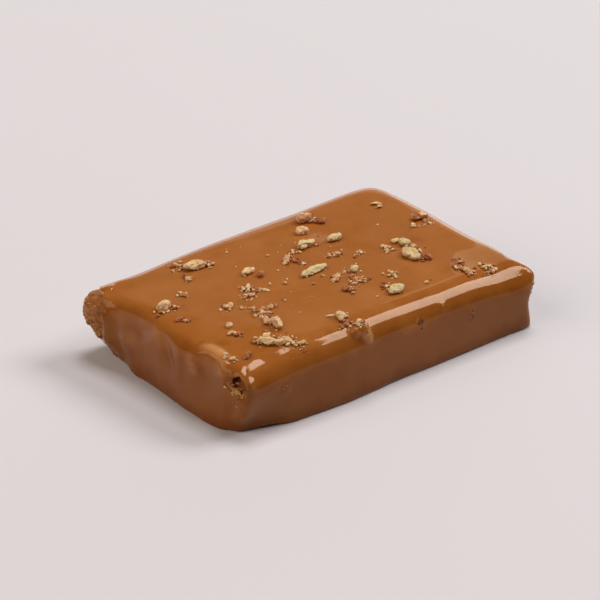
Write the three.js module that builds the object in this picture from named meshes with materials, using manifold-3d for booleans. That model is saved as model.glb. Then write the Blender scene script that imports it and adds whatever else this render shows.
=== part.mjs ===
// A caramel glazed slab cake: one uncut rectangular layer, glazed on the top and on all four
// sides, with chopped nuts lying on the glaze. The cake stands on its flat underside at z = 0,
// its long side along X and its short side along Y. All lengths are in millimetres.

import * as THREE from 'three';
import { mergeVertices } from 'three/addons/utils/BufferGeometryUtils.js';
import Module from 'manifold-3d';

// ---- Driving dimensions ----

const LENGTH = 205;
const WIDTH = 132;
const HEIGHT = 42;
const TOP_EDGE = 7; // radius of the glaze where it rolls over from the top to a side
const BASE_EDGE = 1.2; // radius of the glaze where a side meets the underside
const CORNER = { frontLeft: 5, frontRight: 4, backRight: 13, backLeft: 9 }; // seen from above

const GRID = { along: 40, across: 26, up: 10 }; // faces on the slab along X, Y and Z
const CROWDING = 0.6; // 0 spaces the faces evenly, 1 gathers them hard against the edges

const SEAT_GAP = 0.35; // a nut clears the glaze by this much
const NUT_ROUNDNESS = 1; // how often a nut's twenty faces are divided
const NUT_LUMPS = 0.2; // height of a nut's lumps, as a share of its size
const NUT_FLAT = 0.55; // a nut's underside is cut flat at this share of its half height
const LUMP_ROUNDNESS = 4; // how often the faces of a joined lump or a broken place are divided
const LUMP_WAVES = 0.12; // how uneven it is, as a share of its size

const left = -LENGTH / 2;
const right = LENGTH / 2;
const front = -WIDTH / 2;
const back = WIDTH / 2;
const top = HEIGHT;

// Places where the cake bulges, sags or was pressed while the glaze was soft. Each pulls the
// surface round one place by a short way, fading to nothing at its reach.
const PULLS = [
  { name: 'left foot leans out', at: [left, -28, 0], reach: 50, by: [-3.8, 0, 0] },
  { name: 'left side drawn in under its back end', at: [left, 60, 0], reach: 46, by: [6.5, 0, 0] },
  { name: 'back left corner stands out', at: [left, back, 21], reach: 29, by: [-11, 12.5, 0] },
  { name: 'back left corner sags', at: [left, 56, top], reach: 22, by: [0, 0, -2.5] },
  { name: 'back side fuller', at: [-20, back, 35], reach: 85, by: [0, 2, 0] },
  { name: 'back right corner fuller', at: [80, back, 38], reach: 90, by: [0, 3, 0] },
  { name: 'back top edge fuller', at: [0, back, top], reach: 110, by: [0, 1.2, 0.6] },
  { name: 'back right top edge', at: [80, back, top], reach: 40, by: [0, 0, 0.8] },
  { name: 'left foot splayed', at: [-101, 34, 0], reach: 14, by: [-2.2, 0, 0] },
  { name: 'front foot splayed to the left', at: [-30, front, 0], reach: 45, by: [0, -2.2, 0] },
  { name: 'front foot splayed to the right', at: [40, front, 0], reach: 70, by: [0, -1, 0] },
  { name: 'front left foot rounded off', at: [-95, front, 0], reach: 30, by: [0.5, 6.5, 0] },
  { name: 'front left foot lifts', at: [-82, -61, 0], reach: 13, by: [0, 0, 1.8] },
  { name: 'front left corner sinks', at: [-101, -64, top], reach: 52, by: [0, 0, -3.6] },
  { name: 'a swell beside it', at: [-85, -64, top], reach: 10, by: [0, 0, 0.55] },
  { name: 'its foot lifts', at: [-100, -58, 0], reach: 16, by: [0.8, 1.2, 1.3] },
  { name: 'its foot rounded off', at: [-101, -64, 0], reach: 13, by: [1.4, 1.4, 0.2] },
  { name: 'left top edge sags in front', at: [left, -42, top], reach: 21, by: [-0.3, 0, -1.4] },
  { name: 'left top edge sags', at: [left, -24, top], reach: 21, by: [-0.3, 0, -1.7] },
  { name: 'left top edge sags behind', at: [left, -6, top], reach: 21, by: [-0.2, 0, -1.2] },
  { name: 'front top edge sinks at its right', at: [98, front, top], reach: 40, by: [0, 0, -3.8] },
  { name: 'front top edge sinks', at: [70, front, top], reach: 40, by: [0, 0, -1.4] },
  { name: 'front top edge starts to sink', at: [40, front, top], reach: 40, by: [0, 0, -0.8] },
  { name: 'right side fuller', at: [right, 35, 28], reach: 60, by: [3.4, 0, 0] },
  { name: 'front right shoulder forward', at: [right, front, 35], reach: 40, by: [0, -1.6, 0] },
  { name: 'front right shoulder', at: [right, front, 34], reach: 17, by: [5.2, -0.6, 0] },
  { name: 'front right foot', at: [right, front, 0], reach: 18, by: [3, -1, 0] },
  { name: 'front right notch', at: [106, -68, 26], reach: 6, by: [-0.8, 0.6, 0] },
  { name: 'right top edge', at: [right, -47, top], reach: 24, by: [1.2, 0, 1.1] },
  { name: 'finger mark', at: [left, -34, 29], reach: 17, by: [2.6, 0, 0] },
  { name: 'rim over the finger mark', at: [-101, -33, 38], reach: 10, by: [-1.4, 0, 0.8] },
  { name: 'soft bulge in the left side', at: [-100, 38, 19], reach: 18, by: [-1.8, 0, 0] },
  { name: 'soft dent above it', at: [left, 26, 32], reach: 13, by: [1.4, 0, 0] },
  { name: 'front right side', at: [right, front, 24], reach: 26, by: [1, -0.4, 0] },
  { name: 'domed top', at: [5, 5, top], reach: 75, by: [0, 0, 1.4] },
];

// Lumps joined to the cake, and places where the glaze has broken away from it: half sizes, and a
// turn about the vertical in degrees.
const LUMPS = [
  { name: 'glazed nut on the front edge', at: [-18.5, -62.5, 38], size: [4, 3.8, 4], turn: 20 },
  { name: 'its left part', at: [-23, -62.5, 37.6], size: [3, 3.2, 3], turn: 0 },
  { name: 'its run of glaze', at: [-16.5, -65.4, 34.5], size: [2.4, 2.2, 5.8], turn: 0 },
];
const BREAKS = [
  { name: 'pit in the front left corner', at: [-107, -57, 31], size: [9.5, 8.5, 5], turn: 0 },
  { name: 'bare end of the left side', at: [-117, 80, 14], size: [12, 26, 34], turn: 24 },
];

// Nuts as large as berries: place on the top, length, width, height, and turn in degrees.
const PALE = 0xb89a70;
const BROWN = 0x7f4627;
const NUTS = [
  { name: 'nut_round', at: [-91, 19], size: [8.8, 8, 6.2], turn: 20, colour: PALE },
  { name: 'nut_broad', at: [-47, 46], size: [14, 8, 5], turn: -25, colour: PALE },
  { name: 'nut_skinned', at: [37.5, 52], size: [12, 9, 6], turn: 20, colour: BROWN },
  { name: 'nut_arched', at: [26, 40], size: [8.4, 7, 4.6], turn: 10, colour: PALE },
  { name: 'nut_cut', at: [16, 25.5], size: [13, 7, 5], turn: 5, colour: PALE },
  { name: 'nut_sliver', at: [-1.5, -2], size: [20, 6, 3.8], turn: 6, colour: PALE },
  { name: 'nut_oval', at: [34.6, 22], size: [10.5, 6, 4.6], turn: 0, colour: PALE },
  { name: 'nut_smooth', at: [-29.5, 21.5], size: [10, 5.4, 3.6], turn: 5, colour: PALE },
  { name: 'nut_strip', at: [-4, 18], size: [10.5, 4.6, 3], turn: 38, colour: PALE },
  { name: 'nut_leaning', at: [-56.5, -36.5], size: [4.8, 13, 6.2], turn: -20, colour: PALE },
  { name: 'nut_wedge', at: [-72.5, -46.5], size: [10, 6, 4.4], turn: -60, colour: PALE },
  { name: 'nut_edge', at: [-24, -52], size: [8.4, 6.6, 4.8], turn: 40, colour: PALE },
  { name: 'nut_knot', at: [62, -7], size: [8, 7.4, 4.8], turn: 15, colour: PALE },
  { name: 'nut_ragged', at: [54, -20.5], size: [9, 15, 5.4], turn: 0, colour: PALE },
  { name: 'nut_split', at: [20.3, -47.5], size: [12, 7, 5.2], turn: 5, colour: PALE },
  { name: 'nut_far', at: [91, 13.5], size: [11, 7.6, 4.4], turn: -15, colour: BROWN },
];

// ---- Shaping ----

// Spaces a run of grid lines from -1 to 1 more closely towards its two ends.
function crowd(t) {
  return (1 - CROWDING) * t + CROWDING * Math.sin((t * Math.PI) / 2);
}

// Turns the square edges into quarter rounds. inset is a point's way in from the nearest side and
// depth its way in from the top or the underside, and on the plain box one of them is always 0.
function rollEdges(p) {
  const upper = p.z > HEIGHT / 2;
  const radius = upper ? TOP_EDGE : BASE_EDGE;
  const inset = Math.min(right - Math.abs(p.x), back - Math.abs(p.y));
  const depth = upper ? HEIGHT - p.z : p.z;
  if (inset >= radius || depth >= radius) return;
  const angle = (Math.PI / 4) * (1 + (inset - depth) / radius);
  const rolledInset = radius * (1 - Math.cos(angle));
  const rolledDepth = radius * (1 - Math.sin(angle));
  p.x *= (right - rolledInset) / (right - inset);
  p.y *= (back - rolledInset) / (back - inset);
  p.z = upper ? HEIGHT - rolledDepth : rolledDepth;
}

// Rounds the upright corner that a point lies near, as seen from above.
function roundCorner(p) {
  const radius =
    p.y < 0
      ? p.x < 0 ? CORNER.frontLeft : CORNER.frontRight
      : p.x < 0 ? CORNER.backLeft : CORNER.backRight;
  const alongX = Math.abs(p.x) - (right - radius);
  const alongY = Math.abs(p.y) - (back - radius);
  if (alongX <= 0 || alongY <= 0) return;
  const shrink = Math.max(alongX, alongY) / Math.hypot(alongX, alongY);
  p.x = Math.sign(p.x) * (right - radius + alongX * shrink);
  p.y = Math.sign(p.y) * (back - radius + alongY * shrink);
}

function pull(p, { at, reach, by }) {
  const near = 1 - Math.hypot(p.x - at[0], p.y - at[1], p.z - at[2]) / reach;
  if (near <= 0) return;
  const share = near * near * (3 - 2 * near);
  const rise = at[2] > 0 ? p.z / HEIGHT : 1; // only a pull on the foot bends the underside
  p.x += by[0] * share;
  p.y += by[1] * share;
  p.z += by[2] * share * rise;
}

// Carries a point of the plain box to its place on the cake.
function shapeSlab(p) {
  rollEdges(p);
  roundCorner(p);
  for (const place of PULLS) pull(p, place);
  return p;
}

function moveVertices(geometry, move) {
  const positions = geometry.attributes.position;
  const p = new THREE.Vector3();
  for (let i = 0; i < positions.count; i += 1) {
    p.fromBufferAttribute(positions, i);
    move(p);
    positions.setXYZ(i, p.x, p.y, p.z);
  }
  return geometry;
}

// Leaves only the vertices' places, with the ones that coincide made one.
function weld(geometry) {
  geometry.deleteAttribute('normal');
  geometry.deleteAttribute('uv');
  return mergeVertices(geometry, 1e-4);
}

// A closed ball of the given half sizes with low lumps, different for each seed.
function lumpyBall(size, lumps, seed, roundness) {
  const ball = weld(new THREE.IcosahedronGeometry(1, roundness));
  return moveVertices(ball, (p) => {
    const wave =
      Math.sin(3.1 * p.x + 1.7 * seed) * Math.cos(2.7 * p.y - 0.9 * seed) +
      0.6 * Math.sin(4.3 * p.z + 2.1 * p.x + 2.3 * seed) +
      0.4 * Math.cos(6.1 * p.y + 3.7 * p.z + 0.6 * seed);
    p.multiplyScalar(1 + (lumps * wave) / 2);
    p.set(p.x * size[0], p.y * size[1], p.z * size[2]);
  });
}

// ---- Joining and cutting ----

const wasm = await Module();
wasm.setup();

function toSolid(geometry) {
  const vertProperties = new Float32Array(geometry.attributes.position.array);
  const triVerts = new Uint32Array(geometry.index.array);
  return new wasm.Manifold(new wasm.Mesh({ numProp: 3, vertProperties, triVerts }));
}

function toGeometry(solid) {
  const mesh = solid.getMesh();
  const geometry = new THREE.BufferGeometry();
  geometry.setAttribute('position', new THREE.BufferAttribute(mesh.vertProperties, 3));
  geometry.setIndex(new THREE.BufferAttribute(mesh.triVerts, 1));
  geometry.computeVertexNormals();
  return geometry;
}

// ---- The cake ----

function placedLump({ at, size, turn }, seed) {
  const lump = lumpyBall(size, LUMP_WAVES, seed, LUMP_ROUNDNESS);
  lump.rotateZ(THREE.MathUtils.degToRad(turn));
  lump.translate(...at);
  return toSolid(lump);
}

function cake() {
  const box = weld(new THREE.BoxGeometry(2, 2, 2, GRID.along, GRID.across, GRID.up));
  moveVertices(box, (p) => {
    p.set(crowd(p.x) * right, crowd(p.y) * back, ((crowd(p.z) + 1) * HEIGHT) / 2);
    shapeSlab(p);
  });
  let solid = toSolid(box);
  LUMPS.forEach((place, index) => {
    solid = solid.add(placedLump(place, index + 1));
  });
  BREAKS.forEach((place, index) => {
    solid = solid.subtract(placedLump(place, index + 1));
  });
  const glaze = new THREE.MeshStandardMaterial({ color: 0x9d5f2a, roughness: 0.25, metalness: 0 });
  const mesh = new THREE.Mesh(toGeometry(solid), glaze);
  mesh.name = 'cake';
  return mesh;
}

// ---- The nuts ----

// Height of the glazed top over a place well inside its edges.
function topAt(x, y) {
  return shapeSlab(new THREE.Vector3(x, y, HEIGHT)).z;
}

function nut({ name, at, size, turn, colour }, seed) {
  const half = size.map((length) => length / 2);
  const floor = -half[2] * NUT_FLAT;
  const chunk = lumpyBall(half, NUT_LUMPS, seed, NUT_ROUNDNESS);
  moveVertices(chunk, (p) => {
    p.z = Math.max(p.z, floor) - floor;
  });
  chunk.computeVertexNormals();
  const material = new THREE.MeshStandardMaterial({ color: colour, roughness: 0.7, metalness: 0 });
  const mesh = new THREE.Mesh(chunk, material);
  mesh.name = name;
  mesh.position.set(at[0], at[1], topAt(...at) + SEAT_GAP);
  mesh.rotation.z = THREE.MathUtils.degToRad(turn);
  return mesh;
}

// ---- The whole, with its origin under the middle of its outer box ----

const whole = new THREE.Group();
whole.add(cake());
NUTS.forEach((place, index) => whole.add(nut(place, index + 1)));

const bounds = new THREE.Box3().setFromObject(whole);
const middle = bounds.getCenter(new THREE.Vector3());
whole.position.set(-middle.x, -middle.y, -bounds.min.z);

export default whole;
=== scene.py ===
# A caramel glazed slab cake with chopped nuts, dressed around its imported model.
# Lengths are written in millimetres and turned into metres by mm.

import math
import random

import bpy
from mathutils import Matrix, Vector


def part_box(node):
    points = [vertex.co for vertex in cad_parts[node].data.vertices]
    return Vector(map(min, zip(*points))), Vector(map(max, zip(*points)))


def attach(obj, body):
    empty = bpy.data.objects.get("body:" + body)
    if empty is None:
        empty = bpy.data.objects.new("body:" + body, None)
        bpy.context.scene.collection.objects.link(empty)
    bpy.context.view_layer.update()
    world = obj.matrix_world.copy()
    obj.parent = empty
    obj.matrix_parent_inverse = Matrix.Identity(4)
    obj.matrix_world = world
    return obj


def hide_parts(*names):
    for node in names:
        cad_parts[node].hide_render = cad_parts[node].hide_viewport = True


mm = 0.001
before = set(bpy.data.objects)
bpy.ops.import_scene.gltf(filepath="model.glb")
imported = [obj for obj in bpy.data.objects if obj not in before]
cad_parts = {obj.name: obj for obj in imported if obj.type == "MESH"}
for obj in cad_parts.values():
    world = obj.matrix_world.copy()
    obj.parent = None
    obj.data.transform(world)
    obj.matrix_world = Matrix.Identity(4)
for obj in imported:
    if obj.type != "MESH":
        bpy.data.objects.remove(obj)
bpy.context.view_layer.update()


# ---- The shaped slab ----
# The cake is one layer of sponge, trimmed to a rectangle before it is glazed. It is drawn here as a
# plain box cut into a grid, whose edges are then rolled over and whose sides are pulled about where
# the soft cake bulged, sagged or was pressed. The glaze and the sponge are both made from it.

slab_length = 205
slab_width = 132
slab_height = 42
slab_middle = Vector((-0.83, -3.39, 0)) * mm  # the plain box stands a little off the origin
widest_roll = 13
front_roll = 6.5
top_roll = 7
foot_roll = 1.2
corner_radii = {(-1, -1): 5, (1, -1): 4, (1, 1): 13, (-1, 1): 9}  # by their side in x and in y
hair = 0.0001  # two places nearer than this are the same

left = -slab_length / 2
front = -slab_width / 2
right = slab_length / 2
back = slab_width / 2
top = slab_height


def pick(piece):
    """Makes piece the one object selected."""
    for other in bpy.context.selected_objects:
        other.select_set(False)
    bpy.context.view_layer.objects.active = piece
    piece.select_set(True)


def open_for_editing(piece):
    """Picks piece and opens it with nothing in it selected."""
    pick(piece)
    bpy.ops.object.mode_set(mode="EDIT")
    bpy.ops.mesh.select_mode(type="VERT")
    bpy.ops.mesh.select_all(action="DESELECT")


def choose(piece, wanted):
    """Opens piece for editing with the vertices selected whose places pass the test wanted."""
    open_for_editing(piece)
    bpy.ops.object.mode_set(mode="OBJECT")
    for vertex in piece.data.vertices:
        vertex.select = wanted(vertex.co)
    bpy.ops.object.mode_set(mode="EDIT")


def close_editing():
    bpy.ops.object.mode_set(mode="OBJECT")


def finish_with(piece, kind, **settings):
    """Adds one modifier with the given settings to piece and applies it."""
    pick(piece)
    modifier = piece.modifiers.new(kind.lower(), kind)
    for name, value in settings.items():
        setattr(modifier, name, value)
    bpy.ops.object.modifier_apply(modifier=modifier.name)


def copy_of(piece, name):
    """A copy of piece with its own mesh."""
    twin = piece.copy()
    twin.data = piece.data.copy()
    twin.name = name
    bpy.context.collection.objects.link(twin)
    return twin


def pull(piece, at, reach, by):
    """Drags the vertex nearest to a place, and what lies within reach of it less and less."""
    place = slab_middle + Vector(at) * mm
    nearest = min(piece.data.vertices, key=lambda v: (v.co - place).length_squared).co.copy()
    choose(piece, lambda co: (co - nearest).length < hair * mm)
    bpy.ops.transform.translate(
        value=Vector(by) * mm,
        use_proportional_edit=True,
        proportional_edit_falloff="SMOOTH",
        proportional_size=reach * mm,
    )
    close_editing()


bpy.ops.mesh.primitive_cube_add(size=1, location=(0, 0, 0))
slab = bpy.context.object
slab.name = "slab"
open_for_editing(slab)
bpy.ops.mesh.select_all(action="SELECT")
bpy.ops.transform.resize(value=(slab_length * mm, slab_width * mm, slab_height * mm))
bpy.ops.transform.translate(value=slab_middle + Vector((0, 0, top / 2)) * mm)
grid = (  # where the box is cut along each axis, once more near its front left corner
    (0, (-93, *range(-84, 85, 14))),
    (1, (-54, *range(-48, 49, 12))),
    (2, (16, 28)),
)
for axis, places in grid:
    for place in places:
        plane = slab_middle.copy()
        plane[axis] += place * mm
        across = Vector((0, 0, 0))
        across[axis] = 1
        bpy.ops.mesh.select_all(action="SELECT")
        bpy.ops.mesh.bisect(plane_co=plane, plane_no=across)
close_editing()


def on_rim(co, height):
    """Whether a place is on the outline of the plain box at this height."""
    inward = min(
        right * mm - abs(co.x - slab_middle.x),
        back * mm - abs(co.y - slab_middle.y),
    )
    return abs(co.z - height * mm) < hair * mm and inward < hair * mm


def at_corner(co, x_side, y_side):
    """Whether a place is on one upright corner of the plain box."""
    corner = slab_middle + Vector((x_side * right, y_side * back, 0)) * mm
    return (co.xy - corner.xy).length < hair * mm


edge_rolls = [
    (lambda co: on_rim(co, top), top_roll),
    (lambda co: on_rim(co, top) and co.y < slab_middle.y + (front + hair) * mm, front_roll),
    (lambda co: on_rim(co, 0), foot_roll),
]
for sides, radius in corner_radii.items():
    edge_rolls.append((lambda co, s=sides: at_corner(co, *s), radius))
for wanted, radius in edge_rolls:
    choose(slab, wanted)
    bpy.ops.transform.edge_bevelweight(value=radius / widest_roll)
    close_editing()
finish_with(
    slab,
    "BEVEL",
    limit_method="WEIGHT",
    width=widest_roll * mm,
    segments=3,
    use_clamp_overlap=False,
)
finish_with(slab, "SUBSURF", levels=2, render_levels=2)

for at, reach, by in (
    ((left, -28, 0), 50, (-3.8, 0, 0)),  # the left foot leans out
    ((left, 60, 0), 46, (6.5, 0, 0)),  # and is drawn in under its back end
    ((left, back, 21), 29, (-11, 12.5, 0)),  # the back left corner stands out
    ((left, 56, top), 22, (0, 0, -2.5)),  # and sags
    ((-20, back, 35), 85, (0, 2, 0)),  # the back is a little fuller
    ((80, back, 38), 90, (0, 3, 0)),  # most of all at its right end
    ((0, back, top), 110, (0, 1.2, 0.6)),
    ((80, back, top), 40, (0, 0, 0.8)),
    ((-101, 34, 0), 14, (-2.2, 0, 0)),  # the foot is splayed where the glaze ran
    ((-30, front, 0), 45, (0, -2.2, 0)),
    ((40, front, 0), 70, (0, -1, 0)),
    ((-95, front, 0), 30, (0.5, 6.5, 0)),  # the front left foot is rounded off
    ((-82, -61, 0), 13, (0, 0, 1.8)),  # and lifts off the board
    ((-101, -64, top), 52, (0, 0, -3.6)),  # the front left corner sinks towards its pit
    ((-85, -64, top), 10, (0, 0, 0.55)),  # with a swell beside it
    ((-100, -58, 0), 16, (0.8, 1.2, 1.3)),  # its foot is rounded off
    ((-101, -64, 0), 13, (1.4, 1.4, 0.2)),
    ((left, -42, top), 21, (-0.3, 0, -1.4)),  # the left top edge sags
    ((left, -24, top), 21, (-0.3, 0, -1.7)),
    ((left, -6, top), 21, (-0.2, 0, -1.2)),
    ((98, front, top), 40, (0, 0, -3.8)),  # the front top edge sinks to the right
    ((70, front, top), 40, (0, 0, -1.4)),
    ((40, front, top), 40, (0, 0, -0.8)),
    ((right, 35, 28), 60, (3.4, 0, 0)),  # the right side is fuller
    ((right, front, 35), 40, (0, -1.6, 0)),  # the front right shoulder
    ((right, front, 34), 17, (5.2, -0.6, 0)),
    ((right, front, 0), 18, (3, -1, 0)),  # the front right foot
    ((106, -68, 26), 6, (-0.8, 0.6, 0)),  # the notch between them
    ((right, -47, top), 24, (1.2, 0, 1.1)),
    ((left, -34, 29), 17, (2.6, 0, 0)),  # a finger mark in the left side
    ((-101, -33, 38), 10, (-1.4, 0, 0.8)),  # the rim over it
    ((-100, 38, 19), 18, (-1.8, 0, 0)),  # a soft bulge
    ((left, 26, 32), 13, (1.4, 0, 0)),  # and a dent above it
    ((right, front, 24), 26, (1, -0.4, 0)),
    ((5, 5, top), 75, (0, 0, 1.4)),  # the top is slightly domed
):
    pull(slab, at, reach, by)


# ---- The sponge ----
# Brown sponge fills the glaze and shows only where the glaze is broken away: at the back end of the
# left side and in the pit of the front left corner. It is the slab drawn in by the glaze's
# thickness, with an open crumb pressed into it where it shows.

glaze_thickness = 2
pore_size = 2
pore_depth = 1.6
bare_places = (  # where the glaze is broken away, and half sizes
    ((-107, -57, 31), (10, 9, 5)),  # the pit in the front left corner
    ((-104, -60, 27), (4.4, 4.4, 3.4)),
    ((-107, 80, 24), (14, 25, 30)),  # the bare back end of the left side
    ((-107, 67, -2), (14, 24, 13)),  # and along its foot
)
wiped_from = 20  # the height from which the crumb of the bare end was wiped smooth
wiped_over = 10  # and over which it gets smoother
wiped_least = 0.3
smear_from = 14  # the caramel wiped over it starts lower
smear_over = 12


def clouds(name, size):
    """Soft lumps of this size in millimetres, for pressing into a surface."""
    texture = bpy.data.textures.new(name, "CLOUDS")
    texture.noise_scale = size * mm
    return texture


def press(piece, texture, height, group=""):
    """Pushes a surface in and out by up to half of height, in millimetres."""
    finish_with(
        piece,
        "DISPLACE",
        texture=texture,
        texture_coords="LOCAL",
        strength=height * mm,
        mid_level=0.5,
        vertex_group=group,
    )


def on_slab(co):
    """A place in millimetres from the middle of the plain box's foot."""
    return (co - slab_middle) / mm


def near_bare(spot, margin):
    """Whether a spot of the slab lies in a bare place, or within margin of it."""
    return any(
        sum(((spot - Vector(at))[i] / (half[i] + margin)) ** 2 for i in range(3)) < 1
        for at, half in bare_places
    )


sponge = copy_of(slab, "sponge")
open_for_editing(sponge)
bpy.ops.mesh.select_all(action="SELECT")
bpy.ops.transform.resize(
    value=(
        1 - 2 * glaze_thickness / slab_length,
        1 - 2 * glaze_thickness / slab_width,
        1 - glaze_thickness / slab_height,
    ),
    center_override=slab_middle,
)
close_editing()
pull(sponge, (left, back, 36), 18, (-3.0, 1.8, 2.4))  # the bare end fills the corner
pull(sponge, (left, back, 14), 20, (0.8, -0.8, 0))
hollow = copy_of(sponge, "hollow")  # what the glaze is wrapped round
for at, reach, by in (
    ((-101, 60, 37), 6, (1.4, -0.2, -0.4)),  # the glaze's broken rim stands clear of it
    ((-104, 57, 28), 6, (1.6, 0, 0)),
    ((-105, 56, 20), 6, (1.6, 0, 0)),
    ((-104, 55, 12), 6, (1.4, 0, 0)),
    ((-101, -57, 31), 9, (2.4, 2.4, -0.6)),  # a hole in the corner, under the pit
    ((-98, -53, 31), 4.5, (2.5, 2.5, 0)),
):
    pull(sponge, at, reach, by)
for _ in range(2):
    choose(sponge, lambda co: near_bare(on_slab(co), 5))  # finer faces for the open crumb
    bpy.ops.mesh.subdivide(number_cuts=2, smoothness=0)
    close_editing()


def open_crumb(spot):
    """Fully open in the pit and low on the bare end, whose upper part was wiped smooth."""
    if not near_bare(spot, 3):
        return 0.0
    if spot.z < wiped_from or spot.y < 0:
        return 1.0
    return max(wiped_least, 1 - (spot.z - wiped_from) / wiped_over)


def paint(piece, name, value_at):
    """Keeps a number for each vertex of piece, for its material to read."""
    attribute = piece.data.attributes.new(name, "FLOAT", "POINT")
    for vertex, stored in zip(piece.data.vertices, attribute.data):
        stored.value = value_at(vertex.co)


def pit_shade_at(co):
    """Painted shade: the sponge is painted darker and redder in its front half, which shows only in
    the pit.
    """
    return 1.0 if co.y < 0 else 0.0


def smeared_at(co):
    """Caramel was wiped over the upper part of the bare end."""
    return min(max((co.z / mm - smear_from) / smear_over, 0), 1) if co.y > 0 else 0.0


paint(sponge, "wet", pit_shade_at)
paint(sponge, "smeared", smeared_at)
opened = sponge.vertex_groups.new(name="crumb")
for vertex in sponge.data.vertices:
    opened.add([vertex.index], open_crumb(on_slab(vertex.co)), "REPLACE")
pores = bpy.data.textures.new("pores", "VORONOI")
pores.noise_scale = pore_size * mm
press(sponge, clouds("crumb lumps", 4.5), 3.4, "crumb")
press(sponge, pores, -pore_depth, "crumb")
press(sponge, clouds("crumb grain", 0.7), 0.6, "crumb")
choose(sponge, lambda co: co.z < 0)  # nothing reaches below the board
bpy.ops.transform.resize(value=(1, 1, 0), center_override=(0, 0, 0))
close_editing()


def shade_smooth(piece, sharpest):
    """Shades piece smoothly across every edge blunter than sharpest degrees."""
    pick(piece)
    bpy.ops.object.shade_smooth_by_angle(angle=math.radians(sharpest))


def new_material(name):
    """A material with an empty node tree but for its shader, and that tree."""
    material = bpy.data.materials.new(name)
    material.use_nodes = True
    tree = material.node_tree
    tree.nodes.clear()
    shader = tree.nodes.new("ShaderNodeBsdfPrincipled")
    output = tree.nodes.new("ShaderNodeOutputMaterial")
    tree.links.new(shader.outputs["BSDF"], output.inputs["Surface"])
    return material, tree, shader


def object_noise(tree, size, detail=2.0, stretch=(1, 1, 1)):
    """Noise of this size in millimetres over the piece's own coordinates."""
    place = tree.nodes.new("ShaderNodeTexCoord")
    mapping = tree.nodes.new("ShaderNodeMapping")
    mapping.inputs["Scale"].default_value = stretch
    noise = tree.nodes.new("ShaderNodeTexNoise")
    noise.inputs["Scale"].default_value = 1 / (size * mm)
    noise.inputs["Detail"].default_value = detail
    tree.links.new(place.outputs["Object"], mapping.inputs["Vector"])
    tree.links.new(mapping.outputs["Vector"], noise.inputs["Vector"])
    return noise.outputs["Fac"]


def ramp(tree, value, stops):
    """Turns a value from 0 to 1 into a colour by stops, each a place and its colour."""
    node = tree.nodes.new("ShaderNodeValToRGB")
    node.color_ramp.elements.remove(node.color_ramp.elements[1])
    node.color_ramp.elements[0].position = stops[0][0]
    node.color_ramp.elements[0].color = (*stops[0][1], 1)
    for place, colour in stops[1:]:
        node.color_ramp.elements.new(place).color = (*colour, 1)
    tree.links.new(value, node.inputs["Fac"])
    return node.outputs["Color"]


def grey(level):
    """A colour that stands for a number in a ramp."""
    return (level, level, level)


def painted(tree, name):
    """The number that paint kept under this name."""
    node = tree.nodes.new("ShaderNodeAttribute")
    node.attribute_name = name
    return node.outputs["Fac"]


def mixed(tree, share, under, over):
    """A colour turned into another, which is a plain one or comes from a node, by a share."""
    node = tree.nodes.new("ShaderNodeMix")
    node.data_type = "RGBA"
    tree.links.new(share, node.inputs["Factor"])
    tree.links.new(under, node.inputs["A"])
    if isinstance(over, tuple):
        node.inputs["B"].default_value = (*over, 1)
    else:
        tree.links.new(over, node.inputs["B"])
    return node.outputs["Result"]


def bump(tree, shader, value, height):
    """Roughens the shader's surface by a value, height millimetres high."""
    node = tree.nodes.new("ShaderNodeBump")
    node.inputs["Strength"].default_value = 1
    node.inputs["Distance"].default_value = height * mm
    tree.links.new(value, node.inputs["Height"])
    tree.links.new(node.outputs["Normal"], shader.inputs["Normal"])


def coat(piece, material):
    """Gives piece this material alone."""
    piece.data.materials.clear()
    piece.data.materials.append(material)


shade_smooth(sponge, 60)
syrup_tint = (1, 0.80, 0.58, 1)  # what the sugar on a surface mirrors is warmed by it
crumb, tree, shader = new_material("sponge")
tone = ramp(
    tree,
    object_noise(tree, 3, detail=4),
    ((0.3, (0.15, 0.045, 0.013)), (0.5, (0.32, 0.115, 0.032)), (0.7, (0.55, 0.27, 0.10))),
)
patches = ramp(tree, object_noise(tree, 5, detail=4), ((0.42, grey(0.396)), (0.56, grey(0.88))))
# the smeared caramel is the sponge's own colour; the darker tone in the pit is painted shade
for name, colour in (("smeared", (0.37, 0.112, 0.024)), ("wet", (0.30, 0.07, 0.018))):
    blotched = tree.nodes.new("ShaderNodeMath")
    blotched.operation = "MULTIPLY"
    tree.links.new(painted(tree, name), blotched.inputs[0])
    tree.links.new(patches, blotched.inputs[1])
    tone = mixed(tree, blotched.outputs["Value"], tone, colour)
tree.links.new(tone, shader.inputs["Base Color"])
shader.inputs["Roughness"].default_value = 0.36
shader.inputs["Specular IOR Level"].default_value = 0.3
shader.inputs["Specular Tint"].default_value = syrup_tint
bump(tree, shader, object_noise(tree, 0.5, detail=3), 0.12)
coat(sponge, crumb)
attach(sponge, "root")


# ---- The glaze ----
# Caramel glaze poured over the whole cake, about two millimetres thick, smooth and glossy. It ran
# over a nut on the front edge, and its broken rims stand up round the pit and the bare end.

glaze_grain = 1.05  # spacing of the glaze's faces
glaze_swell = 0.5  # puts back what smoothing takes off
foot_level = 0.01  # whatever is lower than this belongs to the foot
foot_drop = 3
hollow_drop = 5
board_depth = 400
fold_steps = 7

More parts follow.
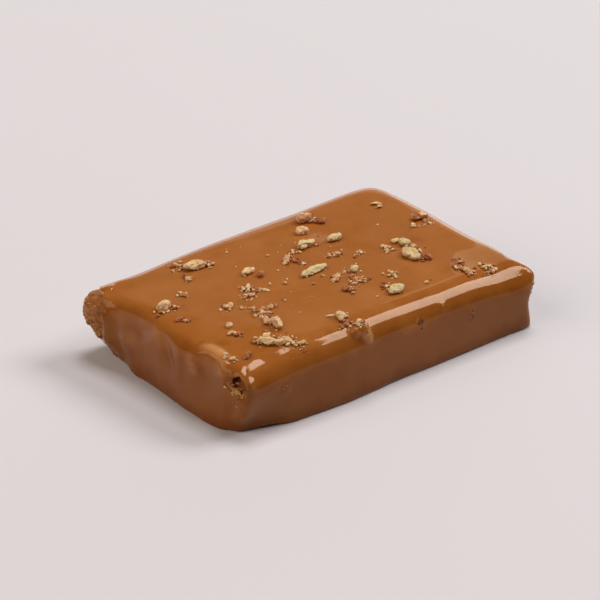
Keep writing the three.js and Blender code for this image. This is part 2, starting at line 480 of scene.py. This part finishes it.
glaze = slab  # the sponge has its own copy
glaze.name = "glaze"
finish_with(glaze, "SUBSURF", levels=1, render_levels=1)
for at, reach, by in (
    ((-76, front, 23), 4, (0, -0.9, 0)),  # bumps and pits over crumbs in the front side
    ((-78.5, front, 23), 3, (0, 0.8, 0)),
    ((58, front, 25), 4, (0, -0.7, 0)),
    ((60.5, front, 24), 3, (0, 0.6, 0)),
    ((21, front, 31), 3, (0, 1, 0)),
    ((23.5, front, 31), 2.6, (0, -0.6, 0)),
    ((38, front, 35), 3, (0, -0.8, 0)),
    ((-101, 58, 36), 6, (-1.5, -0.2, 0.8)),  # the broken rim of the glaze stands up
    ((-104, 55, 29), 5, (-1.4, -0.2, 0)),
    ((-105, 54, 21), 5, (-0.8, -0.2, 0)),
    ((-104, 53, 14), 5, (-1.5, -0.2, 0)),
    ((-102, 48, 8), 5, (-0.9, -0.2, 0)),
    ((-96, 61, 41), 5, (0, -0.2, 1.2)),
    ((-98, -62, 31), 4, (-0.6, -1.3, 0)),  # a rim of glaze curls round the right of the pit
    ((-100, -61, 12), 6, (-1.0, -1.0, 0)),  # a soft ridge runs down from it to the foot
    ((-101, -62, 20), 5, (-0.6, -0.6, 0)),
    ((-103, -54, 13), 5, (1.6, 0.8, 0)),  # with a groove on its left
    ((-103, -56, 19), 4, (1.2, 0.6, 0)),
    ((-102.5, 38, 18), 9, (-0.8, 0, 0)),  # soft bulges in the left side
    ((-102.5, 12, 22), 12, (-0.8, 0, 0)),
):
    pull(glaze, at, reach, by)

# The glaze slid a little and folded down the left side.
for start, end, reach, by in (
    ((-102, 33, 25), (-99.5, 14, 35), 6, (0.55, 0, 0)),
    ((-102, 4, 34), (-103, -4, 20), 6, (0.5, 0, 0)),
    ((-102.5, -9, 33), (-103, -11, 16), 7, (-0.35, 0, 0)),
    ((-101.5, 46, 35), (-104, 44, 14), 7, (0.3, 0, 0)),
):
    for step in range(fold_steps + 1):
        pull(glaze, Vector(start).lerp(Vector(end), step / fold_steps), reach, by)

# The finger left a raised arch of glaze round the top of its mark.
finger_mark = Vector((-101, -34, 28))
arch_radius = 11.8
arch_lean = 0.35  # how far its top leans in over the slab
arch = []
for degrees in range(25, 191, 15):
    angle = math.radians(degrees)
    out = Vector((arch_lean * max(math.sin(angle), 0), -math.cos(angle), math.sin(angle)))
    arch.append(finger_mark + out * arch_radius)
for place in arch:
    pull(glaze, place, 7, (-0.8, 0, 0.5))


def lump(at, half_sizes, unevenness):
    """A ball of these half sizes in millimetres, with a surface of low lumps this high."""
    bpy.ops.mesh.primitive_ico_sphere_add(subdivisions=5, radius=mm, location=(0, 0, 0))
    ball = bpy.context.object
    open_for_editing(ball)
    bpy.ops.mesh.select_all(action="SELECT")
    bpy.ops.transform.resize(value=half_sizes)
    bpy.ops.transform.translate(value=slab_middle + Vector(at) * mm)
    close_editing()
    press(ball, clouds("lump", 4), unevenness)
    return ball


def join_or_cut(piece, tool, operation):
    """Joins the solid tool to piece or cuts it out of piece, and removes it."""
    finish_with(piece, "BOOLEAN", object=tool, operation=operation, solver="MANIFOLD")
    bpy.data.objects.remove(tool)


for at, half_sizes in (
    ((-18.5, -62.5, 38.5), (3.6, 3.2, 3.4)),  # the glazed nut on the front edge
    ((-23, -62.5, 38), (2.6, 2.8, 2.6)),
    ((-16.5, -65.4, 34.5), (2, 1.8, 5.6)),  # its run of glaze
):
    join_or_cut(glaze, lump(at, half_sizes, 0.8), "UNION")
for at, half_sizes in bare_places:  # the glaze tore away with a ragged rim
    join_or_cut(glaze, lump(at, half_sizes, 3.2), "DIFFERENCE")


def lower_foot(piece, drop):
    """Draws the foot of piece down, so that it can be cut off flat at the board."""
    choose(piece, lambda co: co.z < foot_level * mm)
    bpy.ops.transform.translate(value=(0, 0, -drop * mm))
    close_editing()


lower_foot(glaze, foot_drop)
finish_with(glaze, "REMESH", mode="VOXEL", voxel_size=glaze_grain * mm)
finish_with(glaze, "SMOOTH", factor=0.5, iterations=5)
finish_with(glaze, "DISPLACE", strength=glaze_swell * mm, mid_level=0)
press(glaze, clouds("slow waves", 40), 0.35)
press(glaze, clouds("small waves", 9), 0.03)
bpy.ops.mesh.primitive_cube_add(size=board_depth * mm, location=(0, 0, -board_depth / 2 * mm))
join_or_cut(glaze, bpy.context.object, "DIFFERENCE")
lower_foot(hollow, hollow_drop)
join_or_cut(glaze, hollow, "DIFFERENCE")

# Painted highlight: places where the glaze is painted paler, as if they caught the light.
painted_highlight_places = [(place, 5, 1) for place in arch]  # where, how far round it, and how pale
painted_highlight_places += [(Vector((-103, 34, 23)), 6, 0.22), (Vector((-17, -66, 35)), 5, 0.7)]


def painted_highlight_at(co):
    """Painted highlight: the glaze is painted paler on the arch, on a swelling behind it and on the
    front run.
    """
    return max(
        share * max(0, 1 - ((on_slab(co) - place).length / reach) ** 2)
        for place, reach, share in painted_highlight_places
    )


paint(glaze, "pale", painted_highlight_at)
shade_smooth(glaze, 50)

caramel, tree, shader = new_material("caramel_glaze")
tone = ramp(
    tree,
    object_noise(tree, 28, detail=3),
    ((0.3, (0.36, 0.112, 0.018)), (0.7, (0.42, 0.142, 0.030))),
)
# Painted shade: the glaze is painted darker down the sides, most of all low down, because the sides
# get less light than the top. In part it is the brown sponge showing through the thinner glaze
# there.
# The darker sides end in uneven tongues up into the thick glaze.
tongue_length = 22
coordinates = tree.nodes.new("ShaderNodeTexCoord")
height = tree.nodes.new("ShaderNodeSeparateXYZ")
tree.links.new(coordinates.outputs["Object"], height.inputs["Vector"])
tongues = tree.nodes.new("ShaderNodeMath")
tongues.operation = "MULTIPLY_ADD"
tongues.inputs[1].default_value = tongue_length * mm
tongues.inputs[2].default_value = -tongue_length / 2 * mm
tree.links.new(object_noise(tree, 13, detail=3, stretch=(1, 1, 0.4)), tongues.inputs[0])
moved_height = tree.nodes.new("ShaderNodeMath")
tree.links.new(height.outputs["Z"], moved_height.inputs[0])
tree.links.new(tongues.outputs["Value"], moved_height.inputs[1])
up_the_side = tree.nodes.new("ShaderNodeMapRange")
up_the_side.inputs["From Max"].default_value = slab_height * mm
tree.links.new(moved_height.outputs["Value"], up_the_side.inputs["Value"])
shade_down_the_sides = ramp(
    tree,
    up_the_side.outputs["Result"],
    (
        (0, (0.54, 0.42, 0.20)),
        (0.12, (0.58, 0.48, 0.27)),
        (0.22, (0.64, 0.57, 0.40)),
        (0.66, (0.66, 0.59, 0.41)),
        (0.74, (0.80, 0.74, 0.55)),
        (0.86, (0.86, 0.80, 0.62)),
        (0.97, (1, 1, 1)),
    ),
)
darkened = tree.nodes.new("ShaderNodeMix")
darkened.data_type = "RGBA"
darkened.blend_type = "MULTIPLY"
darkened.inputs["Factor"].default_value = 1
tree.links.new(tone, darkened.inputs["A"])
tree.links.new(shade_down_the_sides, darkened.inputs["B"])
# painted highlight: paler caramel on the arch, the swelling and the front run
tone = mixed(tree, painted(tree, "pale"), darkened.outputs["Result"], (0.56, 0.25, 0.085))
tree.links.new(tone, shader.inputs["Base Color"])
shader.inputs["Roughness"].default_value = 0.06
shader.inputs["IOR"].default_value = 1.46
shader.inputs["Specular IOR Level"].default_value = 0.4
shader.inputs["Specular Tint"].default_value = syrup_tint
shader.inputs["Subsurface Weight"].default_value = 0.35
shader.inputs["Subsurface Radius"].default_value = (1.0, 0.35, 0.08)
shader.inputs["Subsurface Scale"].default_value = 3 * mm
bump(tree, shader, object_noise(tree, 7, detail=2), 0.02)
coat(glaze, caramel)
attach(glaze, "root")
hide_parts("cake")


# ---- The chopped nuts ----
# Sixteen larger pieces of chopped nut lie on the glaze. Each was knocked off a whole kernel, so it
# has flat broken faces of cream or greenish flesh, and keeps some of its brown skin on the outside.

pale_nuts = {  # size, turn about the vertical in degrees, breaks, knobs, greenness, skin left on
    "nut_round": ((8.8, 8, 6.2), 20, 2, 0, 0.1, 0.0),
    "nut_broad": ((14, 8, 5), -25, 4, 1, 0.2, 0.3),
    "nut_arched": ((8.4, 7, 4.6), 10, 3, 1, 0.0, 0.2),
    "nut_cut": ((13, 7, 5), 5, 5, 1, 0.7, 0.0),
    "nut_sliver": ((20, 6, 3.8), 6, 1, 0, 0.9, 0.0),
    "nut_oval": ((10.5, 6, 4.6), 0, 1, 0, 0.8, 0.0),
    "nut_smooth": ((10, 5.4, 3.6), 5, 1, 0, 0.1, 0.0),
    "nut_strip": ((10.5, 4.6, 3), 38, 2, 0, 0.0, 0.6),
    "nut_leaning": ((4.8, 13, 6.2), -20, 3, 1, 0.3, 0.2),
    "nut_wedge": ((10, 6, 4.4), -60, 4, 1, 0.6, 0.0),
    "nut_edge": ((8.4, 6.6, 4.8), 40, 3, 1, 0.4, 0.0),
    "nut_knot": ((8, 7.4, 4.8), 15, 3, 2, 0.9, 0.0),
    "nut_ragged": ((9, 15, 5.4), 0, 3, 3, 0.7, 0.2),
    "nut_split": ((12, 7, 5.2), 5, 4, 1, 0.9, 0.0),
}
skinned_nuts = {  # the two that kept most of their skin
    "nut_skinned": ((12, 9, 6), 20, 3, 2, 0.0, 0.65),
    "nut_far": ((11, 7.6, 4.4), -15, 1, 1, 0.0, 1.0),
}
nut_grain = 0.3  # spacing of a nut's faces
knob_place = 0.75  # how far out on a nut its knobs sit
skin_depth = 0.9  # only what lies further out than this kept its skin


def joined(pieces, name):
    """Joins pieces into one mesh."""
    pick(pieces[0])
    for piece in pieces:
        piece.select_set(True)
    bpy.ops.object.join()
    pieces[0].name = name
    return pieces[0]


def broken_ball(half_sizes, breaks, subdivisions, dice):
    """A ball of these half sizes in millimetres, with some of its sides broken off flat."""
    bpy.ops.mesh.primitive_ico_sphere_add(subdivisions=subdivisions, radius=1, location=(0, 0, 0))
    ball = bpy.context.object
    open_for_editing(ball)
    for _ in range(breaks):  # mostly at the sides and above, where the breaks can be seen
        way = Vector((dice.uniform(-1, 1), dice.uniform(-1, 1), dice.uniform(-0.2, 0.9)))
        way.normalize()
        depth = dice.uniform(0.5, 0.78)
        bpy.ops.mesh.select_all(action="SELECT")
        bpy.ops.mesh.bisect(plane_co=way * depth, plane_no=way, use_fill=True, clear_outer=True)
    bpy.ops.mesh.select_all(action="SELECT")
    bpy.ops.transform.resize(value=Vector(half_sizes) * mm, center_override=(0, 0, 0))
    close_editing()
    return ball


def chopped_nut(node, size, turn, breaks, knobs, green, skin):
    """A broken ball with smaller ones grown to it and a lumpy surface, in the place of a node."""
    dice = random.Random(node)
    half = Vector(size) / 2
    parts = [broken_ball(half, breaks, 4, dice)]
    for _ in range(knobs):
        angle = dice.uniform(0, math.tau)
        knob = broken_ball(half * dice.uniform(0.4, 0.65), 2, 3, dice)
        open_for_editing(knob)
        bpy.ops.mesh.select_all(action="SELECT")
        bpy.ops.transform.translate(
            value=(
                knob_place * half.x * mm * math.cos(angle),
                knob_place * half.y * mm * math.sin(angle),
                0.3 * half.z * mm * dice.uniform(-1, 1),
            )
        )
        close_editing()
        parts.append(knob)
    piece = joined(parts, node)
    finish_with(piece, "REMESH", mode="VOXEL", voxel_size=nut_grain * mm)
    finish_with(piece, "SMOOTH", factor=0.5, iterations=2)
    side = Vector((dice.uniform(-1, 1), dice.uniform(-1, 1), 0.4)).normalized()

    def skin_at(co):
        """Skin is left on the unbroken outside, towards one side of it."""
        unit = Vector([co[i] / mm / half[i] for i in range(3)])
        return skin if unit.length > skin_depth and unit.dot(side) > 0.4 - skin else 0.0

    paint(piece, "skin", skin_at)
    paint(piece, "green", lambda co: green)
    press(piece, clouds("nut lumps", 3), 1.9)
    press(piece, clouds("nut grain", 1.1), 0.7)
    places = [vertex.co for vertex in piece.data.vertices]  # then it is fitted to the node's size
    low = Vector([min(co[i] for co in places) for i in range(3)])
    high = Vector([max(co[i] for co in places) for i in range(3)])
    fit = Matrix.Diagonal([size[i] * mm / (high[i] - low[i]) for i in range(3)]).to_4x4()
    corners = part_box(node)
    middle = (Vector(corners[0]) + Vector(corners[1])) / 2
    piece.data.transform(
        Matrix.Translation(middle)
        @ Matrix.Rotation(math.radians(turn), 4, "Z")
        @ fit
        @ Matrix.Translation((low + high) / -2)
    )
    return piece


cream = (
    (0.30, (0.46, 0.19, 0.07)),
    (0.42, (0.72, 0.42, 0.19)),
    (0.55, (0.85, 0.56, 0.30)),
    (0.72, (0.96, 0.72, 0.44)),
)
green_flesh = (0.68, 0.53, 0.27)
brown_skin = ((0.3, (0.19, 0.036, 0.012)), (0.52, (0.42, 0.13, 0.042)), (0.75, (0.66, 0.31, 0.13)))


def nut_material(name):
    """Nut flesh in cream or green, mottled, with papery brown skin where it is painted on."""
    material, tree, shader = new_material(name)
    flesh = ramp(tree, object_noise(tree, 1.8, detail=5), cream)
    flesh = mixed(tree, painted(tree, "green"), flesh, green_flesh)
    skin = ramp(tree, object_noise(tree, 1.4, detail=4), brown_skin)
    tone = mixed(tree, painted(tree, "skin"), flesh, skin)
    tree.links.new(tone, shader.inputs["Base Color"])
    shader.inputs["Roughness"].default_value = 0.55
    shader.inputs["Specular IOR Level"].default_value = 0.3
    shader.inputs["Specular Tint"].default_value = syrup_tint
    shader.inputs["Subsurface Weight"].default_value = 0.25
    shader.inputs["Subsurface Radius"].default_value = (1.0, 0.6, 0.3)
    shader.inputs["Subsurface Scale"].default_value = 0.6 * mm
    bump(tree, shader, object_noise(tree, 0.5, detail=3), 0.08)
    return material


flesh_material = nut_material("nut_flesh")
skin_material = nut_material("nut_skin")

nuts = joined([chopped_nut(node, *shape) for node, shape in pale_nuts.items()], "pale_nuts")
coat(nuts, flesh_material)
shade_smooth(nuts, 40)
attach(nuts, "root")
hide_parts(*pale_nuts)

husks = joined([chopped_nut(node, *shape) for node, shape in skinned_nuts.items()], "skinned_nuts")
coat(husks, skin_material)
shade_smooth(husks, 40)
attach(husks, "root")
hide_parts(*skinned_nuts)


# ---- The nut bits and crumbs ----
# The knife also left smaller bits of flesh, scraps of brown skin and many crumbs, which fell in
# small heaps round the larger pieces and stuck to the wet glaze. Each kind is one mesh.

lone_bits = (  # x and y on the slab, length, width, turn in degrees, greenness, skin
    (-77, -20, 5.4, 4, 20, 0, 0),
    (-81, -26.5, 5, 3, 10, 0.3, 0),
    (-78.6, -29.8, 6, 2.8, 10, 0, 1),
    (-87, -48.6, 4.6, 3.8, 20, 0, 1),
    (-92, 4, 6.4, 2.8, 20, 0, 1),
    (-35.5, -1, 7, 2, -60, 0.2, 0),
    (-26, 14, 6, 4.4, 30, 0, 1),
    (1, 12, 10, 3.8, -72, 0, 1),
    (3, -16, 5, 4, 30, 0, 0.4),
    (-7, 16, 4, 2.6, 10, 0, 0),
    (18, -14, 6, 4.4, 10, 0.9, 0),
    (-1, -29, 6, 4.2, 30, 0, 1),
    (-57, -28, 5, 4, 20, 0.2, 0.3),
    (-62, -3, 5.6, 4.2, 50, 0, 0.2),
    (-72, 23.5, 4, 3.4, 30, 0, 0.4),
    (50, -2, 4.6, 3.2, 20, 0.1, 0),
    (83, 43, 6, 2.5, -20, 0, 0),
    (-27, -47, 7, 1.6, 150, 0.3, 0),
    (-19, -61, 4.6, 3.4, 20, 0.3, 0),
    (-68, -41.4, 5, 3.6, -40, 0, 0),
    (-68.5, -52, 7, 5, -30, 0, 0.35),
    (-63, -53, 6.4, 4.6, -50, 0, 0.2),
    (59.5, -1, 6, 4, 10, 0.3, 0),
    (60, -28, 7, 4.6, -60, 0, 1),
    (44, 44, 6, 4.6, -40, 0, 1),
)
heaps = (  # x and y on the slab, spread, bits of flesh and of skin, crumbs of each, greenness
    (-45, -18, 3, 2, 0, 6, 4, 0),
    (-53, -20, 4.5, 7, 15, 16, 20, 0),
    (-55, -25, 3, 1, 5, 4, 8, 0),
    (-58, -31, 4, 3, 2, 10, 12, 0),
    (-65, -38, 2.5, 1, 0, 3, 1, 0),
    (-64, -51, 7, 9, 4, 28, 10, 0.2),
    (-75, -42, 4, 1, 0, 8, 4, 0),
    (-96.5, -41.5, 2, 0, 0, 5, 1, 0),
    (-95, -47, 2, 0, 0, 4, 1, 0),
    (-79, -29.5, 2.5, 0, 2, 2, 5, 0),
    (-63, -2.5, 4, 5, 0, 10, 3, 0),
    (-58, -9, 1.5, 1, 0, 3, 0, 0),
    (-54, -12, 2, 1, 0, 3, 0, 0),
    (-42, 8, 4, 4, 0, 12, 3, 0),
    (-47, 0, 4, 4, 2, 12, 5, 0),
    (-40, 4, 2.5, 0, 3, 3, 8, 0),
    (-37, 0, 2.5, 1, 0, 4, 0, 0),
    (42, 48, 3.5, 2, 3, 6, 12, 0),
    (22, 22, 2, 1, 0, 3, 1, 0),
    (5, 24, 2.5, 2, 1, 4, 3, 0),
    (-1, 20, 3, 0, 3, 4, 6, 0),
    (1, 10, 3, 1, 3, 5, 6, 0),
    (3, -16, 3.4, 3, 1, 5, 4, 0),
    (23, 6, 3.5, 2, 1, 10, 4, 0),
    (17.6, 8, 2, 1, 0, 4, 0, 0),
    (32.5, 0, 3, 1, 0, 6, 0, 0),
    (16, -14, 4, 3, 0, 10, 2, 0.7),
    (11, -24, 5, 5, 5, 18, 12, 0),
    (0, -30, 3, 0, 4, 4, 8, 0),
    (91, 6, 3.5, 2, 0, 9, 2, 0),
    (82, 7, 3, 1, 0, 5, 0, 0),
    (62, -13, 5, 5, 4, 14, 10, 0.5),
    (50, -6, 3.5, 4, 1, 10, 3, 0),
    (58, -25, 4, 1, 3, 8, 8, 0),
    (20, -42, 4.5, 2, 3, 10, 12, 0),
    (31, -31, 3.5, 3, 0, 8, 1, 0),
    (71.5, -41, 3, 2, 3, 6, 6, 0),
    (66, -47, 3.5, 3, 2, 10, 8, 0),
    (69, -54, 3.5, 3, 2, 10, 6, 0),
    (81, -55, 4.5, 7, 2, 18, 6, 0.3),
    (83, 41, 4, 1, 0, 4, 0, 0),
    (-94, 17, 3.5, 2, 1, 10, 5, 0),
    (-86, 15, 2.5, 1, 0, 5, 1, 0),
    (-90, 0, 3, 0, 1, 3, 2, 0),
    (-24, -55, 4, 1, 3, 6, 10, 0),
    (-17, -60, 3, 6, 1, 18, 5, 0),
    (-88, -50, 2, 0, 3, 1, 4, 0),
    (-18.5, -62.5, 3.5, 3, 1, 20, 6, 0),
    (-59, -58.5, 3, 0, 0, 12, 2, 0),
    (-54, 53, 5, 3, 1, 10, 4, 0),
    (-39, 44, 3, 2, 1, 6, 3, 0),
    (-58, 38, 3, 1, 2, 5, 5, 0),
    (-74, 25, 3, 2, 1, 6, 1, 0),
    (0, 0, 60, 0, 0, 26, 6, 0),  # and crumbs all over the top
)
crumbs_each = 1.8  # crumbs that fell for each one counted in the heaps
heap_height = 1.2
widest_heap = 10  # anything that spreads further lies loose


def seat(x, y):
    """The place on the glaze below a point of the slab."""
    start = slab_middle + Vector((x, y, 2 * slab_height)) * mm
    return glaze.ray_cast(start, (0, 0, -1))[1]


def bit_shape(subdivisions, breaks, unevenness, seed):
    """A small broken bit with a radius of one metre, for copies to be scaled down from."""
    piece = broken_ball((1 / mm, 1 / mm, 1 / mm), breaks, subdivisions, random.Random(seed))
    open_for_editing(piece)
    bpy.ops.mesh.select_all(action="SELECT")
    bpy.ops.mesh.quads_convert_to_tris()
    bpy.ops.transform.vertex_random(offset=unevenness, seed=seed)
    close_editing()
    return piece


def strewn(shapes, places, name):
    """Copies of the shapes, one at each place, size, turn, greenness and skin, in one mesh."""
    dice = random.Random(name)
    copies = []
    for spot, length, width, turn, green, skin in places:
        height = 0.8 * width  # each lies on its flatter side
        copy = copy_of(dice.choice(shapes), name)
        tilt = Matrix.Rotation(dice.uniform(-0.6, 0.6), 4, "X")
        roll = Matrix.Rotation(dice.uniform(0, math.tau), 4, "X")
        size = Matrix.Diagonal((length * mm / 2, width * mm / 2, height * mm / 2, 1))
        heading = Matrix.Rotation(math.radians(turn), 4, "Z")
        sunk_in = Matrix.Translation(spot + Vector((0, 0, 0.3 * height * mm)))  # by a fifth
        copy.data.transform(sunk_in @ heading @ tilt @ size @ roll)
        paint(copy, "green", lambda co: green)
        paint(copy, "skin", lambda co: skin)
        copies.append(copy)
    return joined(copies, name)


bit_shapes = [bit_shape(2, 5, 0.1, seed) for seed in range(1, 7)]
crumb_shapes = [bit_shape(1, 2, 0.2, seed) for seed in range(1, 6)]
dice = random.Random(11)
spills = {"nut_bits": [], "skin_bits": [], "nut_crumbs": [], "skin_crumbs": []}
for x, y, length, width, turn, green, skin in lone_bits:
    kind = "skin_bits" if skin == 1 else "nut_bits"
    spills[kind].append((seat(x, y), length, width, turn, green, skin))
for x, y, spread, *counts, green in heaps:
    for kind, count in zip(spills, counts):
        for _ in range(round(count * crumbs_each) if kind.endswith("crumbs") else count):
            away = Vector((dice.gauss(0, spread / 2), dice.gauss(0, spread / 2), 0))
            spot = seat(x + away.x, y + away.y)
            if spread < widest_heap:
                piled = dice.uniform(0, heap_height) * max(0, 1 - away.length / spread)
                spot.z += piled * mm
            length = min(0.9 + dice.expovariate(1.3), 3.2)  # most crumbs are fine, a few coarse
            if kind.endswith("bits"):
                length = dice.uniform(2, 3.8)
            width = length * dice.uniform(0.5, 0.9)
            turn = dice.uniform(0, 360)
            if kind.startswith("nut"):
                look = (min(green + dice.uniform(0, 0.4), 1), dice.choice((0, 0.1, 0.35)))
            else:
                look = (0, 1)
            spills[kind].append((spot, length, width, turn, *look))

for name, places in spills.items():
    shapes = bit_shapes if name.endswith("bits") else crumb_shapes
    scatter = strewn(shapes, places, name)
    coat(scatter, flesh_material if name.startswith("nut") else skin_material)
    shade_smooth(scatter, 30)
    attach(scatter, "root")


# ---- The sponge crumbs ----
# Where the glaze broke away, yellow crumbs of sponge came loose and stuck below: under the pit, on
# the bare end and in the notch of the front right corner. A few more, some of them toasted, are
# caught in the glaze of the front side.

thrown_from = 30
sponge_spills = (  # place on the slab, spread, the way in, how many, the longest, how toasted
    ((-104, -60, 26), (5, 4.4, 2), (0.65, 0.76, 0), 44, 2.8, 0),
    ((-104, -58, 20), (1.5, 1.5, 3.4), (0.65, 0.76, 0), 14, 1.6, 0),
    ((-112, 70, 12), (2, 6, 5), (1, -0.2, 0), 36, 2.2, 0),
    ((-112, 66, 26), (2, 8, 14), (1, -0.2, 0), 30, 1.8, 0),
    ((-112, 72, 24), (1, 3, 14), (0.76, -0.65, 0), 30, 2, 0),
    ((-111, 75, 33), (1, 3, 8), (0.76, -0.65, 0), 12, 1.5, 0),
    ((106, -67, 24), (1, 1, 7), (-0.8, 0.6, 0), 30, 2.4, 0),
    ((-17.5, -66, 36), (1.6, 0, 3.4), (0, 1, 0), 20, 1.8, 0),
    ((-76, -66, 23), (3, 0, 2.4), (0, 1, 0), 8, 1.7, 0.4),
    ((38, -66, 35), (2, 0, 1), (0, 1, 0), 3, 1.5, 0),
    ((22, -66, 30), (1.6, 0, 2.6), (0, 1, 0), 10, 2, 1),
    ((58.5, -66, 24), (1.2, 0, 5), (0, 1, 0), 9, 1.7, 1),
)


def lodge(spot, way):
    """Where something thrown at the cake one way through a spot of the slab sticks, if it does."""
    start = slab_middle + Vector(spot) * mm - Vector(way) * thrown_from * mm
    hits = [solid.ray_cast(start, way) for solid in (glaze, sponge)]
    struck = [hit[1] for hit in hits if hit[0]]
    return min(struck, key=lambda place: (place - start).length, default=None)


places = []
for spot, spread, way, count, longest, toasted in sponge_spills:
    for _ in range(count):
        stuck = None
        while stuck is None:
            stuck = lodge([dice.gauss(spot[i], spread[i] / 2) for i in range(3)], way)
        length = dice.uniform(0.6, longest)
        width = length * dice.uniform(0.5, 0.9)
        places.append((stuck, length, width, dice.uniform(0, 360), 0, toasted))
loose = strewn(crumb_shapes, places, "sponge_crumbs")
for shape in bit_shapes + crumb_shapes:
    bpy.data.objects.remove(shape)

crumbly, tree, shader = new_material("sponge_crumbs")
tone = ramp(
    tree,
    object_noise(tree, 1.5, detail=3),
    ((0.35, (0.34, 0.14, 0.03)), (0.65, (0.80, 0.48, 0.15))),
)
tone = mixed(tree, painted(tree, "skin"), tone, (0.13, 0.04, 0.012))  # toasted ones are dark
tree.links.new(tone, shader.inputs["Base Color"])
shader.inputs["Roughness"].default_value = 0.6
coat(loose, crumbly)
shade_smooth(loose, 30)
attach(loose, "root")


# ---- The floor, the lights and the camera ----
# A pale floor that fills the view, a square light overhead, a long softbox to the right that draws
# the bright strip along the front top edge, a dim wide one to the left, a narrow card to the right,
# three low cards behind that pale the far rims, and the camera.

light_distance = 6
card_length = 8
world_light = 0.04

bpy.ops.mesh.primitive_grid_add(x_subdivisions=4, y_subdivisions=4, size=14, location=(0, 0, 0))
floor = bpy.context.object
floor.name = "floor"
paper, tree, shader = new_material("pale_floor")
tone = ramp(
    tree,
    object_noise(tree, 900),
    ((0.3, (0.71, 0.672, 0.69)), (0.7, (0.72, 0.682, 0.70))),
)
tree.links.new(tone, shader.inputs["Base Color"])
shader.inputs["Roughness"].default_value = 0.9
shader.inputs["Specular IOR Level"].default_value = 0.1
floor.data.materials.append(paper)


def softbox(name, towards, along, length, width, radiance, colour=(1, 1, 1)):
    """A rectangular light some way off in one direction, its length along another, in metres."""
    light = bpy.data.lights.new(name, "AREA")
    light.shape = "RECTANGLE"
    light.size = length
    light.size_y = width
    light.energy = radiance * math.pi * length * width
    light.color = colour
    facing = Vector(towards).normalized()
    side = Vector(along).cross(facing).normalized()
    lamp = bpy.data.objects.new(name, light)
    axes = Matrix((side.cross(facing), side, facing)).transposed().to_4x4()
    lamp.matrix_world = Matrix.Translation(facing * light_distance) @ axes
    bpy.context.collection.objects.link(lamp)


softbox("key", (0.25, 0.16, 0.956), (0, 1, 0), 2.3, 2.3, 9)
softbox("edge_light", (0.725, -0.26, 0.70), (0, 0.94, 0.34), 3.3, 2.1, 9.2)
softbox("left_fill", (-0.8, 0.15, 0.6), (0, 1, 0), 6, 4.4, 2.1, (1, 0.9, 0.78))
softbox("right_card", (0.785, 0.619, 0.40), (0, 0, 1), 4.1, 0.85, 0.75, (1, 1, 0.75))
for rise, height, radiance, colour in (  # degrees above the floor, one over another
    (8, 1.7, 1.35, (1, 1, 1)),
    (18.5, 0.9, 0.6, (1, 0.94, 0.82)),
    (28, 0.8, 0.2, (1, 0.86, 0.62)),
):
    softbox(
        f"back_card_{rise:.0f}",
        (0.64, 0.77, math.tan(math.radians(rise))),
        (0.77, -0.64, 0),
        card_length,
        height,
        radiance,
        colour,
    )

world = bpy.data.worlds.new("studio")
world.use_nodes = True
backdrop = world.node_tree.nodes["Background"]
backdrop.inputs["Color"].default_value = (1, 1, 1, 1)
backdrop.inputs["Strength"].default_value = world_light
bpy.context.scene.world = world
bpy.context.scene.view_settings.view_transform = "Standard"

camera_turn = math.radians(-40.22)
camera_rise = math.radians(27.1)
camera_distance = 2.2866
aim = Vector((26.43, 42.61, 0)) * mm + slab_middle  # the spot in the middle of the view
lens = bpy.data.cameras.new("camera")
lens.lens = 240
camera = bpy.data.objects.new("camera", lens)
outward = Vector(
    (
        math.sin(camera_turn) * math.cos(camera_rise),
        -math.cos(camera_turn) * math.cos(camera_rise),
        math.sin(camera_rise),
    )
)
camera.location = aim + outward * camera_distance
camera.rotation_euler = outward.to_track_quat("Z", "Y").to_euler()
bpy.context.collection.objects.link(camera)
bpy.context.scene.camera = camera

bpy.context.view_layer.update()
